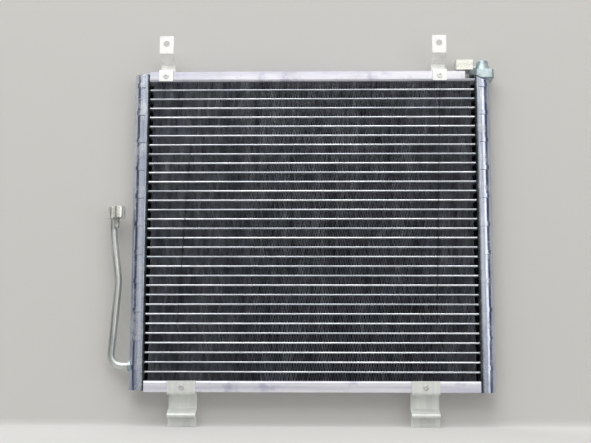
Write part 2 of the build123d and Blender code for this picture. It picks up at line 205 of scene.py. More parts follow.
def turned(radii: np.ndarray, heights: np.ndarray, centre: Vector, axis: Vector, around: int) -> Shape:
    """Turn a closed profile about an axis: each profile point goes round a circle of its radius.

    Args:
        radii, heights: the profile, going once round, in metres from the axis and along it.
        centre: the point on the axis from which heights are measured.
        axis: the axis's direction.
        around: how many steps the circle has.

    Returns:
        The closed ring, its faces outward.
    """
    axis = axis.normalized()
    first = np.array(axis.orthogonal().normalized())
    second = np.cross(np.array(axis), first)
    angle = np.linspace(0, 2 * math.pi, around, endpoint=False)[:, None, None]
    radial = np.cos(angle) * first + np.sin(angle) * second
    points = np.array(centre) + radii[None, :, None] * radial + heights[None, :, None] * np.array(axis)
    faces = grid_faces(around, len(radii), True, True)
    return Shape(points.reshape(-1, 3), [faces]).outward()


class Wiring:
    """Adds nodes to one node tree and joins their sockets."""

    def __init__(self, tree: bpy.types.NodeTree) -> None:
        """Keep the tree that the nodes go into."""
        self.tree = tree

    def add(self, kind: str, inputs: dict | None = None, **settings: object) -> bpy.types.Node:
        """Add one node, set its choices, and fill or link its inputs.

        Args:
            kind: the node's type name.
            inputs: values or sockets for the node's inputs, by name or number.
            settings: the node's own choices.

        Returns:
            The new node.
        """
        node = self.tree.nodes.new(kind)
        for name, value in settings.items():
            setattr(node, name, value)
        for key, value in (inputs or {}).items():
            if isinstance(value, bpy.types.NodeSocket):
                self.tree.links.new(value, node.inputs[key])
            else:
                node.inputs[key].default_value = value
        return node

    def math(self, operation: str, first: object, second: object = 0.0, clamp: bool = False) -> object:
        """Add a Math node and return its value."""
        node = self.add("ShaderNodeMath", {0: first, 1: second}, operation=operation, use_clamp=clamp)
        return node.outputs[0]

    def blend(self, factor: object, first: object, second: object) -> object:
        """Mix two colours and return the result."""
        node = self.add("ShaderNodeMix", data_type="RGBA")
        for socket, value in ((0, factor), (6, first), (7, second)):
            if isinstance(value, bpy.types.NodeSocket):
                self.tree.links.new(value, node.inputs[socket])
            else:
                node.inputs[socket].default_value = value
        return node.outputs[2]

    def ramp(self, value: object, low: float, high: float, to_low: float = 0.0, to_high: float = 1.0) -> object:
        """Carry a value from one range to another, smoothly and within its ends."""
        node = self.add(
            "ShaderNodeMapRange",
            {0: value, 1: low, 2: high, 3: to_low, 4: to_high},
            interpolation_type="SMOOTHSTEP",
            clamp=True,
        )
        return node.outputs[0]

    def noise(self, vector: object, scale: object, detail: float = 3.0, roughness: float = 0.55) -> object:
        """Add a noise texture and return its value."""
        node = self.add(
            "ShaderNodeTexNoise",
            {"Vector": vector, "Scale": scale, "Detail": detail, "Roughness": roughness},
        )
        return node.outputs[0]


def effect_group(name: str, inputs: dict[str, object], outputs: tuple[str, ...]) -> tuple:
    """Start a shader node group with named sockets.

    Args:
        name: the group's name.
        inputs: each input's name and default, a float or a vector of three.
        outputs: the names of the values that it gives.

    Returns:
        The group's tree, its wiring, its input node and its output node.
    """
    tree = bpy.data.node_groups.new(name, "ShaderNodeTree")
    for label, default in inputs.items():
        kind = "NodeSocketFloat" if isinstance(default, float) else "NodeSocketVector"
        socket = tree.interface.new_socket(label, in_out="INPUT", socket_type=kind)
        socket.default_value = default
    for label in outputs:
        tree.interface.new_socket(label, in_out="OUTPUT", socket_type="NodeSocketFloat")
    wiring = Wiring(tree)
    return tree, wiring, wiring.add("NodeGroupInput"), wiring.add("NodeGroupOutput")


def seen_rays(w: Wiring) -> bpy.types.NodeSocket:
    """Return 1 for rays that see: from the camera, off a glossy surface or through a clear one."""
    ray = w.add("ShaderNodeLightPath")
    seen = w.math("ADD", ray.outputs["Is Camera Ray"], ray.outputs["Is Glossy Ray"])
    return w.math("ADD", seen, ray.outputs["Is Transmission Ray"], True)


class Effects:
    """The surface effects that several finishes share, each built once as a node group."""

    def __init__(self) -> None:
        """Build every group."""
        self.grain = self._grain()
        self.bloom = self._bloom()
        self.handling = self._handling()
        self.wear_and_highlight = self._wear_and_highlight()
        self.wire = self._wire()

    def _grain(self) -> bpy.types.NodeTree:
        """Fine lines of drawing or brushing: noise stretched along the grain, fine over coarse."""
        inputs = {"Vector": (0.0, 0.0, 0.0), "Stretch": (1.0, 1.0, 1.0), "Fineness": 900.0}
        tree, w, given, out = effect_group("drawn_grain", inputs, ("Lines", "Bands"))
        along = w.add("ShaderNodeVectorMath", {0: given.outputs[0], 1: given.outputs[1]}, operation="MULTIPLY")
        fine = w.noise(along.outputs[0], given.outputs[2], 2.0)
        coarse = w.noise(along.outputs[0], w.math("MULTIPLY", given.outputs[2], 0.16), 3.0)
        tree.links.new(w.ramp(fine, 0.3, 0.7), out.inputs[0])
        tree.links.new(w.ramp(coarse, 0.35, 0.65), out.inputs[1])
        return tree

    def _bloom(self) -> bpy.types.NodeTree:
        """Powdery flux left by the brazing: soft clouds broken up by small grains."""
        inputs = {"Vector": (0.0, 0.0, 0.0), "Size": 60.0, "Cover": 0.5}
        tree, w, given, out = effect_group("flux_bloom", inputs, ("Mask", "Grains"))
        clouds = w.noise(given.outputs[0], given.outputs[1], 4.0, 0.62)
        grains = w.noise(given.outputs[0], w.math("MULTIPLY", given.outputs[1], 26.0), 2.0, 0.7)
        edge = w.math("SUBTRACT", 1.0, given.outputs[2])
        raised = w.math("ADD", clouds, w.math("MULTIPLY", w.math("SUBTRACT", grains, 0.5), 0.35))
        gap = w.math("SUBTRACT", raised, edge)
        tree.links.new(w.ramp(gap, -0.08, 0.12), out.inputs[0])
        tree.links.new(w.ramp(grains, 0.35, 0.7), out.inputs[1])
        return tree

    def _handling(self) -> bpy.types.NodeTree:
        """Marks of handling: smudges in patches, and thin scratches along two crossing grains."""
        inputs = {"Vector": (0.0, 0.0, 0.0), "Patch": 45.0, "Amount": 0.5}
        tree, w, given, out = effect_group("handling_marks", inputs, ("Smudge", "Scratch"))
        warp = w.add("ShaderNodeTexNoise", {"Vector": given.outputs[0], "Scale": 90.0, "Detail": 2.0})
        shift = w.add("ShaderNodeVectorMath", {0: warp.outputs[1], "Scale": 0.006}, operation="SCALE")
        moved = w.add("ShaderNodeVectorMath", {0: given.outputs[0], 1: shift.outputs[0]}, operation="ADD")
        patch = w.noise(moved.outputs[0], given.outputs[1], 3.0, 0.6)
        smudge = w.ramp(patch, 0.52, 0.74)
        found = 0.0
        for turn, size in ((0.5, 260.0), (-0.9, 330.0)):
            aimed = w.add(
                "ShaderNodeMapping",
                {"Vector": moved.outputs[0], "Rotation": (0.0, turn, 0.3 * turn), "Scale": (1.0, 1.0, 0.06)},
            )
            lines = w.noise(aimed.outputs[0], size, 1.0)
            found = w.math("MAXIMUM", found, w.ramp(lines, 0.71, 0.76))
        tree.links.new(w.math("MULTIPLY", smudge, given.outputs[2]), out.inputs[0])
        tree.links.new(w.math("MULTIPLY", found, given.outputs[2]), out.inputs[1])
        return tree

    def _wear_and_highlight(self) -> bpy.types.NodeTree:
        """Rubbed edges with a painted highlight: brighter where a rounded-off normal turns away from the true
        one.
        """
        inputs = {"Vector": (0.0, 0.0, 0.0), "Radius": 0.6 * MM, "Strength": 1.0}
        tree, w, given, out = effect_group("edge_wear_and_highlight", inputs, ("Mask",))
        rounded = w.add("ShaderNodeBevel", {"Radius": given.outputs[1]}, samples=4)
        true = w.add("ShaderNodeNewGeometry")
        facing = w.add(
            "ShaderNodeVectorMath", {0: rounded.outputs[0], 1: true.outputs["Normal"]}, operation="DOT_PRODUCT"
        )
        turned_away = w.ramp(w.math("SUBTRACT", 1.0, facing.outputs["Value"]), 0.01, 0.2)
        broken = w.ramp(w.noise(given.outputs[0], 700.0), 0.35, 0.6)
        strength = w.math("MULTIPLY", given.outputs[2], broken)
        tree.links.new(w.math("MULTIPLY", turned_away, strength, True), out.inputs[0])
        return tree

    def _wire(self) -> bpy.types.NodeTree:
        """The mark of a brazing wire: a thin line in the XZ plane between two heights."""
        inputs = {
            "Vector": (0.0, 0.0, 0.0),
            "Top": (0.0, 0.0, 0.0),
            "Foot": (0.0, 0.0, -0.1),
            "Width": 1.2 * MM,
        }
        tree, w, given, out = effect_group("wire_mark", inputs, ("Mask",))
        here, top, foot = (
            w.add("ShaderNodeSeparateXYZ", {0: given.outputs[number]}).outputs for number in range(3)
        )
        run = w.math("DIVIDE", w.math("SUBTRACT", here[2], top[2]), w.math("SUBTRACT", foot[2], top[2]))
        line = w.math("ADD", top[0], w.math("MULTIPLY", run, w.math("SUBTRACT", foot[0], top[0])))
        away = w.math("ABSOLUTE", w.math("SUBTRACT", here[0], line))
        near = w.math("SUBTRACT", 1.0, w.math("DIVIDE", away, given.outputs[3]), True)
        inside = w.math("LESS_THAN", w.math("ABSOLUTE", w.math("SUBTRACT", run, 0.5)), 0.5)
        broken = w.ramp(w.noise(given.outputs[0], 260.0), 0.4, 0.6, 0.25, 1.0)
        tree.links.new(w.math("MULTIPLY", w.math("MULTIPLY", near, inside), broken), out.inputs[0])
        return tree


@dataclass(frozen=True)
class WireMark:
    """Where a brazing wire pressed on the core: its upper and lower end, X and Z in metres."""

    top: tuple[float, float]
    foot: tuple[float, float]


@dataclass(frozen=True)
class MetalFinish:
    """One aluminium or steel finish, with everything that makes its surface.

    The colour goes between light and dark by the grain's bands and the smudges, the flux blooms
    pale and dull over it, rubbed edges show bright with a painted highlight, and on the header
    a band of painted shade darkens it beside the core.
    """

    name: str
    light: tuple[float, float, float, float]
    dark: tuple[float, float, float, float]
    grain: Grain = Grain.ACROSS
    fineness: float = 900.0
    roughness: tuple[float, float] = (0.28, 0.45)
    metallic: float = 0.9
    grain_depth: float = 0.02
    bloom: tuple[float, float, float, float] = (0.62, 0.63, 0.62, 1.0)
    bloom_size: float = 60.0
    bloom_cover: float = 0.42
    bloom_strength: float = 0.5
    smudge: tuple[float, float, float, float] = (0.30, 0.28, 0.40, 1.0)
    smudge_amount: float = 0.35
    # strength of the rubbed edges with their painted edge highlight
    edge: float = 0.4
    casting: float = 0.0
    wires: tuple[WireMark, ...] = ()
    tone: float = 0.0
    louvres: float = 0.0
    # how far the painted shade beside the core reaches, in metres; zero for none
    painted_core_shade: float = 0.0

    def material(self, effects: Effects) -> bpy.types.Material:
        """Build the material.

        Args:
            effects: the shared node groups.

        Returns:
            The finished material.
        """
        material = bpy.data.materials.new(self.name)
        material.use_nodes = True
        tree = material.node_tree
        tree.nodes.clear()
        w = Wiring(tree)
        place = w.add("ShaderNodeTexCoord").outputs["Object"]
        grain = w.add("ShaderNodeGroup", node_tree=effects.grain)
        bloom = w.add("ShaderNodeGroup", node_tree=effects.bloom)
        marks = w.add("ShaderNodeGroup", node_tree=effects.handling)
        for group, values in (
            (grain, {1: self.grain.value, 2: self.fineness}),
            (bloom, {1: self.bloom_size, 2: self.bloom_cover}),
            (marks, {2: self.smudge_amount}),
        ):
            tree.links.new(place, group.inputs[0])
            for number, value in values.items():
                group.inputs[number].default_value = value
        colour = w.blend(grain.outputs["Bands"], self.dark, self.light)
        colour = w.blend(w.math("MULTIPLY", marks.outputs["Smudge"], 0.8), colour, self.smudge)
        if self.tone:
            tone = w.add("ShaderNodeAttribute", attribute_name="tone").outputs["Fac"]
            darker = w.blend(1.0 - self.tone, (0.0, 0.0, 0.0, 1.0), colour)
            colour = w.blend(tone, darker, colour)
        bloomed = w.math("MULTIPLY", bloom.outputs["Mask"], self.bloom_strength)
        colour = w.blend(bloomed, colour, self.bloom)
        # painted shade: the colour darkens to a deep grey-blue towards the gap beside the core
        if self.painted_core_shade:
            colour = w.blend(self._painted_core_shade(w, place), colour, (0.13, 0.155, 0.165, 1.0))
        for wire in self.wires:
            line = w.add("ShaderNodeGroup", {0: place}, node_tree=effects.wire)
            line.inputs["Top"].default_value = (wire.top[0], 0.0, wire.top[1])
            line.inputs["Foot"].default_value = (wire.foot[0], 0.0, wire.foot[1])
            colour = w.blend(w.math("MULTIPLY", line.outputs[0], 0.85), colour, (0.01, 0.01, 0.012, 1.0))
        rough = w.ramp(grain.outputs["Lines"], 0.0, 1.0, self.roughness[0], self.roughness[1])
        rough = w.math("ADD", rough, w.math("MULTIPLY", bloomed, 0.25))
        metallic = w.math("SUBTRACT", self.metallic, w.math("MULTIPLY", bloomed, 0.6), True)
        # rubbed edges plus a painted highlight: the colour lightens and the surface turns glossier along sharp
        # edges
        if self.edge:
            wear_and_highlight = w.add("ShaderNodeGroup", {0: place, 2: self.edge}, node_tree=effects.wear_and_highlight)
            colour = w.blend(wear_and_highlight.outputs[0], colour, (0.88, 0.88, 0.88, 1.0))
            rough = w.math("SUBTRACT", rough, w.math("MULTIPLY", wear_and_highlight.outputs[0], 0.1))
        height = w.math("MULTIPLY", grain.outputs["Lines"], self.grain_depth)
        scratch = w.math("MULTIPLY", marks.outputs["Scratch"], -0.03)
        powder = w.math("MULTIPLY", w.math("MULTIPLY", bloom.outputs["Grains"], bloomed), 0.05)
        height = w.math("ADD", w.math("ADD", height, scratch), powder)
        if self.casting:
            height = w.math("ADD", height, self._cast_skin(w, place))
        if self.louvres:
            height = w.math("ADD", height, self._louvre_lines(w, place))
        bump = w.add("ShaderNodeBump", {"Height": height, "Strength": 1.0, "Distance": MM})
        shader = w.add(
            "ShaderNodeBsdfPrincipled",
            {"Base Color": colour, "Roughness": rough, "Metallic": metallic, "Normal": bump.outputs[0]},
        )
        w.add("ShaderNodeOutputMaterial", {"Surface": shader.outputs[0]})
        return material

    def _painted_core_shade(self, w: Wiring, place: bpy.types.NodeSocket) -> object:
        """Mask of the painted shade beside the core, strongest at the header's slotted face, where the plate
        turns into the gap.
        """
        low, high = (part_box(f"{side.name.lower()}_header_plate") for side in Side)
        inner = (low[1][0], high[0][0])
        middle, reach = sum(inner) / 2, (inner[1] - inner[0]) / 2
        across = w.add("ShaderNodeSeparateXYZ", {0: place}).outputs[0]
        away = w.math("ABSOLUTE", w.math("SUBTRACT", across, middle))
        ragged = w.math("MULTIPLY", w.math("SUBTRACT", w.noise(place, 180.0), 0.5), 2 * MM)
        return w.ramp(w.math("ADD", away, ragged), reach + self.painted_core_shade, reach + 0.5 * MM)

    def _cast_skin(self, w: Wiring, place: bpy.types.NodeSocket) -> object:
        """Height of a cast skin: fine pits and faint level bands left by the machining."""
        pits = w.math("MULTIPLY", w.noise(place, 1500.0, 3.0, 0.7), 0.5 * self.casting)
        height = w.add("ShaderNodeSeparateXYZ", {0: place}).outputs[2]
        bands = w.math("SINE", w.math("MULTIPLY", height, 2 * math.pi / (1.1 * MM)))
        return w.math("ADD", pits, w.math("MULTIPLY", bands, 0.12 * self.casting))

    def _louvre_lines(self, w: Wiring, place: bpy.types.NodeSocket) -> object:
        """Height of the louvres cut in a fin: a saw across its depth, one tooth each 1.2 mm."""
        depth = w.add("ShaderNodeSeparateXYZ", {0: place}).outputs[1]
        tooth = w.math("FRACT", w.math("DIVIDE", depth, 1.2 * MM))
        return w.math("MULTIPLY", tooth, self.louvres)


WIRES = (
    WireMark(top=(0.1468, -0.0500), foot=(0.1394, -0.3180)),
    WireMark(top=(-0.1195, -0.1100), foot=(-0.1308, -0.3000)),
)

TUBE = MetalFinish(
    name="drawn_tube",
    light=linear(232, 236, 240),
    dark=linear(176, 182, 190),
    roughness=(0.22, 0.4),
    bloom_cover=0.44,
    bloom_size=140.0,
    wires=WIRES,
    edge=0.0,
    smudge=linear(120, 130, 140),
)
FIN = MetalFinish(
    name="rolled_fin",
    light=linear(206, 210, 222),
    dark=linear(160, 164, 180),
    grain=Grain.UPRIGHT,
    roughness=(0.35, 0.5),
    metallic=0.8,
    bloom_cover=0.3,
    bloom_strength=0.3,
    wires=WIRES,
    edge=0.0,
    tone=0.8,
    louvres=0.25,
)
HEADER = MetalFinish(
    name="brazed_header",
    light=linear(214, 222, 236),
    dark=linear(172, 180, 204),
    grain=Grain.UPRIGHT,
    fineness=620.0,
    roughness=(0.12, 0.26),
    bloom_cover=0.44,
    bloom_size=48.0,
    smudge=linear(120, 118, 150),
    smudge_amount=0.4,
    # painted shade along the header's slotted face, beside the core
    painted_core_shade=4.2 * MM,
)
CHANNEL = MetalFinish(
    name="folded_channel",
    light=linear(236, 235, 242),
    dark=linear(208, 208, 222),
    roughness=(0.36, 0.5),
    metallic=0.5,
    bloom_cover=0.4,
    smudge=linear(150, 146, 178),
    smudge_amount=0.6,
)
BRACKET = MetalFinish(
    name="bracket_strip",
    light=linear(248, 248, 244),
    dark=linear(238, 238, 236),
    grain=Grain.UPRIGHT,
    roughness=(0.36, 0.46),
    metallic=0.4,
    bloom_strength=0.25,
    smudge=linear(196, 196, 206),
    smudge_amount=0.3,
)
FOOT = MetalFinish(
    name="foot_strip",
    light=linear(238, 240, 235),
    dark=linear(226, 229, 225),
    grain=Grain.UPRIGHT,
    roughness=(0.34, 0.44),
    metallic=0.25,
    bloom_strength=0.25,
    smudge=linear(178, 182, 190),
    smudge_amount=0.35,
)
RIVET = MetalFinish(
    name="set_rivet",
    light=linear(240, 240, 240),
    dark=linear(190, 192, 196),
    grain=Grain.NONE,
    roughness=(0.22, 0.4),
)
CAST = MetalFinish(
    name="cast_collar",
    light=linear(206, 220, 222),
    dark=linear(160, 178, 182),
    grain=Grain.NONE,
    fineness=500.0,
    roughness=(0.34, 0.5),
    casting=0.12,
    smudge=linear(130, 150, 156),
)
BLOCK = MetalFinish(
    name="machined_block",
    light=linear(238, 238, 230),
    dark=linear(220, 220, 212),
    roughness=(0.24, 0.34),
    metallic=0.8,
    casting=0.03,
    bloom_strength=0.12,
    smudge=linear(170, 170, 176),
)
PIPE = MetalFinish(
    name="drawn_pipe",
    light=linear(218, 221, 217),
    dark=linear(190, 195, 192),
    grain=Grain.UPRIGHT,
    roughness=(0.28, 0.42),
    smudge=linear(140, 146, 160),
    edge=0.0,
)
STUD = MetalFinish(
    name="plated_stud",
    light=linear(226, 228, 220),
    dark=linear(170, 172, 166),
    grain=Grain.NONE,
    roughness=(0.2, 0.34),
    metallic=1.0,
    bloom_strength=0.1,
    edge=0.3,
)


@dataclass
class Workshop:
    """Dresses pieces: holds the shared effects, and each finish's material once it is made."""

    effects: Effects = field(default_factory=Effects)
    materials: dict[str, bpy.types.Material] = field(default_factory=dict)

    def dress(self, piece: bpy.types.Object, finish: MetalFinish, slot: str) -> bpy.types.Object:
        """Give a new piece its material, its body and its material slot.

        Args:
            piece: the new object.
            finish: the finish that it gets.
            slot: not used.

        Returns:
            The same object.
        """
        if finish.name not in self.materials:
            self.materials[finish.name] = finish.material(self.effects)
        piece.data.materials.clear()
        piece.data.materials.append(self.materials[finish.name])
        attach(piece, BODY)
        return piece

    def eased_copy(
        self, node: str, finish: MetalFinish, slot: str, ease: float = 0.25 * MM
    ) -> bpy.types.Object:
        """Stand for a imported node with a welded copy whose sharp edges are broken.

        Args:
            node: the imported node's name.
            finish: the finish that it gets.
            slot: the record's name for that material.
            ease: how far the edges are broken, in metres, or zero to leave them.

        Returns:
            The new piece.
        """
        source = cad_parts[node].data
        points = np.empty(len(source.vertices) * 3, dtype=np.float32)
        source.vertices.foreach_get("co", points)
        keys = np.round(points.reshape(-1, 3).astype(float) / (0.002 * MM)).astype(np.int64)
        _, first, inverse = np.unique(keys, axis=0, return_index=True, return_inverse=True)
        corners = np.empty(len(source.loops), dtype=np.int32)
        source.loops.foreach_get("vertex_index", corners)
        faces = inverse.ravel()[corners].reshape(-1, 3)
        split = (faces[:, 0] != faces[:, 1]) & (faces[:, 1] != faces[:, 2]) & (faces[:, 0] != faces[:, 2])
        shape = Shape(points.reshape(-1, 3)[first], [faces[split]])
        piece = shape.piece(f"{node}_finished", 32.0)
        if ease:
            work = bmesh.new()
            work.from_mesh(piece.data)
            bmesh.ops.dissolve_limit(
                work, angle_limit=math.radians(0.5), verts=work.verts, edges=work.edges
            )
            work.to_mesh(piece.data)
            work.free()
            bevel = piece.modifiers.new("broken_edges", "BEVEL")
            bevel.width = ease
            bevel.segments = 2
            bevel.limit_method = "ANGLE"
            bevel.angle_limit = math.radians(40.0)
            bevel.harden_normals = True
            bevel.use_clamp_overlap = True
        self.dress(piece, finish, slot)
        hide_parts(node)
        return piece


@dataclass
class Core:
    """The flat tubes across the core and the corrugated fins between them."""

    workshop: Workshop
    nose_steps: int = 8
    tube_stations: int = 120
    leg_spacing: float = 1.34 * MM
    fin_sheet: float = 0.15 * MM
    crest_flat: float = 0.5 * MM
    depth_steps: int = 5
    louvre_throw: float = 0.3 * MM
    braze_reach: float = 0.8 * MM

    def __post_init__(self) -> None:
        """Read the tubes' places from the frame."""
        self.tube_names = sorted(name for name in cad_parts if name.startswith("tube_"))
        boxes = [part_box(name) for name in self.tube_names]
        self.low = np.array([np.array(low) for low, _ in boxes])
        self.high = np.array([np.array(high) for _, high in boxes])
        self.levels = (self.low[:, 2] + self.high[:, 2]) / 2
        self.pitch = float(np.mean(-np.diff(self.levels)))
        self.thickness = float(self.high[0, 2] - self.low[0, 2])

    def build(self) -> None:
        """Build the tubes, the fins and the brazing round the tubes' ends."""
        self.build_tubes()
        self.build_fins()
        self.build_brazing()

    def build_tubes(self) -> None:
        """Draw each tube: two half-round noses joined by flats, with small dents in the noses.

        The dents push the nose inward by smooth noise along the tube, so that it never leaves the
        tube's own box.
        """
        radius = self.thickness / 2
        angle = np.linspace(-math.pi / 2, math.pi / 2, self.nose_steps + 1)
        for number, name in enumerate(self.tube_names):
            random = np.random.default_rng(100 + number)
            low, high = self.low[number], self.high[number]
            along = np.linspace(low[0], high[0], self.tube_stations)
            front = low[1] + radius - radius * np.cos(angle)
            back = high[1] - radius + radius * np.cos(angle[::-1])
            section_y = np.concatenate([front, back])
            section_z = self.levels[number] + radius * np.concatenate([np.sin(angle), np.sin(angle[::-1])])
            dent = self._smooth_noise(random, self.tube_stations, 5)
            dent = 0.22 * MM * np.clip(dent - 0.55, 0, 1)
            share = np.concatenate([np.cos(angle), np.zeros(len(angle))])
            rings = np.empty((self.tube_stations, len(section_y), 3))
            rings[:, :, 0] = along[:, None]
            rings[:, :, 1] = section_y[None, :] + dent[:, None] * share[None, :]
            rings[:, :, 2] = section_z[None, :]
            piece = drawn_bar(rings).piece(f"{name}_drawn")
            self.workshop.dress(piece, TUBE, "tube_metal")
            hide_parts(name)

    @staticmethod
    def _smooth_noise(random: np.random.Generator, count: int, reach: int) -> np.ndarray:
        """Return noise from 0 to 1 along a line, smoothed over a few steps."""
        raw = random.random(count + 2 * reach)
        window = np.hanning(2 * reach + 1)
        smooth = np.convolve(raw, window / window.sum(), mode="valid")[:count]
        return (smooth - smooth.min()) / (np.ptp(smooth) + 1e-9)

    def build_fins(self) -> None:
        """Fold the fin strips of each pass, row by row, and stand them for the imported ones."""
        row_levels = self.levels[0] + self.pitch / 2 - self.pitch * np.arange(len(self.levels) + 1)
        for node in ("fins_first_pass", "fins_second_pass", "fins_third_pass"):
            low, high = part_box(node)
            rows = row_levels[(row_levels > low[2]) & (row_levels < high[2])]
            shape = None
            for level in rows:
                row = self._fin_row(level, np.array(low), np.array(high))
                shape = row if shape is None else shape.joined(row)
            piece = shape.piece(f"{node}_folded", 50.0)
            self.workshop.dress(piece, FIN, "fin_metal")
            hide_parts(node)

    def _fin_row(self, level: float, low: np.ndarray, high: np.ndarray) -> Shape:
        """Fold one fin strip.

        The strip is a wave of straight legs between short flat crests, carried through the depth
        while it steps left and right by the louvres' throw. Each crest is moved a little by noise,
        its front edge is bent further where fins were knocked, and pressed back under the wires.

        Args:
            level: the height of the row's middle.
            low, high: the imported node's corners, for the strip's length and depth.

        Returns:
            The closed strip, with each point's tone.
        """
        random = np.random.default_rng(int(abs(level) * 1e5))
        legs = int(round((high[0] - low[0]) / self.leg_spacing))
        crest_x = np.linspace(low[0], high[0], legs + 1)
        crest_x[1:-1] += 0.13 * MM * np.clip(random.standard_normal(legs - 1), -2, 2)
        half = (self.pitch - self.thickness) / 2 - self.fin_sheet / 2 - 0.01 * MM
        sign = np.where(np.arange(legs + 1) % 2 == 0, -1.0, 1.0)
        line_x = (crest_x[:, None] + self.crest_flat / 2 * np.array([-1.0, 1.0])).ravel()
        line_z = level + np.repeat(sign * half, 2)
        line_x[0] = low[0]
        line_x[-1] = high[0]
        centre = np.stack([line_x, line_z], axis=1)
        step = np.diff(centre, axis=0)
        step /= np.linalg.norm(step, axis=1)[:, None]
        normal = np.stack([-step[:, 1], step[:, 0]], axis=1)
        before = np.concatenate([normal[:1], normal])
        after = np.concatenate([normal, normal[-1:]])
        miter = (before + after) / (1 + np.einsum("ij,ij->i", before, after))[:, None]
        loop = np.concatenate([centre + miter * self.fin_sheet / 2, (centre - miter * self.fin_sheet / 2)[::-1]])
        crest_of_point = np.repeat(np.arange(legs + 1), 2)
        crest_of_loop = np.concatenate([crest_of_point, crest_of_point[::-1]])
        knocks = self._smooth_noise(random, legs + 1, 4)
        bend = 0.9 * MM * np.clip(knocks - 0.72, 0, 1) * np.sign(random.random(legs + 1) - 0.5)
        tone = 0.4 * self._smooth_noise(random, legs + 1, 9) + 0.6 * random.random(legs + 1)
        press = self._wire_press(crest_x, level)
        stations = self.depth_steps + 1
        depth = np.linspace(low[1], high[1], stations)
        throw = self.louvre_throw * np.where(np.arange(stations) % 2 == 0, -0.5, 0.5)
        fade = np.clip(1 - np.arange(stations) / 2, 0, 1)
        points = np.empty((stations, len(loop), 3))
        shift = throw[:, None] + fade[:, None] * bend[crest_of_loop][None, :]
        points[:, :, 0] = np.clip(loop[None, :, 0] + shift, low[0], high[0])
        points[:, :, 1] = depth[:, None] + fade[:, None] * press[crest_of_loop][None, :]
        points[:, :, 2] = loop[None, :, 1]
        around = grid_faces(stations, len(loop), False, True)
        count = len(centre)
        upper = np.arange(count - 1)
        lower = len(loop) - 1 - upper
        rim = np.stack([upper, upper + 1, lower - 1, lower], axis=1)
        faces = [around, rim, rim[:, ::-1] + (stations - 1) * len(loop)]
        tones = np.broadcast_to(tone[crest_of_loop][None, :], (stations, len(loop))).ravel()
        return Shape(points.reshape(-1, 3), faces, tones).outward()

    @staticmethod
    def _wire_press(crest_x: np.ndarray, level: float) -> np.ndarray:
        """Return how far each crest's front edge is pressed back under the brazing wires."""
        press = np.zeros(len(crest_x))
        for wire in WIRES:
            run = (level - wire.top[1]) / (wire.foot[1] - wire.top[1])
            if 0 <= run <= 1:
                line = wire.top[0] + run * (wire.foot[0] - wire.top[0])
                press += 0.9 * MM * np.exp(-(((crest_x - line) / (1.2 * MM)) ** 2))
        return press

    def build_brazing(self) -> None:
        """Run a fillet of brazing round every tube where it enters a header plate.

        The fillet's section is a triangle with a hollow face: it climbs the tube and the plate by
        the same reach, and follows the tube's stadium outline.
        """
        radius = self.thickness / 2
        middle = self.low[0, 1] + (self.high[0, 1] - self.low[0, 1]) / 2
        half_flat = (self.high[0, 1] - self.low[0, 1]) / 2 - radius
        angle = np.linspace(0, 2 * math.pi, 24, endpoint=False)
        outline = np.stack([np.sin(angle), np.cos(angle)], axis=1)
        centre_y = middle + half_flat * np.sign(np.round(outline[:, 0], 6))
        sweep = np.linspace(0, math.pi / 2, 5)
        out = np.concatenate([[-0.3], 1 - np.sin(sweep), [-0.3]])
        away = np.concatenate([[-0.2], 1 - np.cos(sweep), [1.0]])
        for side in Side:
            low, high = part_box(f"{side.name.lower()}_header_plate")
            face_x = high[0] if side is Side.LEFT else low[0]
            shape = None
            for number, level in enumerate(self.levels):
                random = np.random.default_rng(900 + number)
                reach = self.braze_reach * (0.75 + 0.5 * self._smooth_noise(random, len(angle), 2))
                spread = radius + out[None, :] * reach[:, None]
                ring = np.empty((len(angle), len(out), 3))
                ring[:, :, 0] = face_x - side.value * away[None, :] * reach[:, None]
                ring[:, :, 1] = centre_y[:, None] + spread * outline[:, None, 0]
                ring[:, :, 2] = level + spread * outline[:, None, 1]
                faces = grid_faces(len(angle), len(out), True, True)
                part = Shape(ring.reshape(-1, 3), [faces]).outward()
                shape = part if shape is None else shape.joined(part)
            piece = shape.piece(f"{side.name.lower()}_tube_brazing")
            self.workshop.dress(piece, HEADER, "header_metal")


@dataclass
class Headers:
    """The slotted plates with their claws, the arched tanks, and the caps and baffles inside."""

    workshop: Workshop

    def build(self) -> None:
        """Finish every piece of both headers."""
        for side in Side:
            name = side.name.lower()
            self.workshop.eased_copy(f"{name}_header_plate", HEADER, "header_metal", 0.15 * MM)
            self.workshop.eased_copy(f"{name}_tank", HEADER, "header_metal", 0.15 * MM)
        for node in ("left_top_cap", "left_bottom_cap", "right_bottom_cap", "left_baffle", "right_baffle"):
            self.workshop.eased_copy(node, HEADER, "header_metal", 0.15 * MM)


@dataclass
class FoldedStrips:
    """The side channels, the upper brackets and lower feet, and the rivets that hold them."""

    workshop: Workshop

    def build(self) -> None:
        """Finish the channels, brackets, feet and rivets."""
        for node in ("top_channel", "bottom_channel"):
            self.workshop.eased_copy(node, CHANNEL, "channel_metal")
        for side in Side:
            name = side.name.lower()
            self.workshop.eased_copy(f"{name}_bracket", BRACKET, "bracket_metal")
            self.workshop.eased_copy(f"{name}_foot", FOOT, "foot_metal")
        for node in ("bracket_rivets", "foot_rivets"):
            self.workshop.eased_copy(node, RIVET, "rivet_metal", 0.1 * MM)


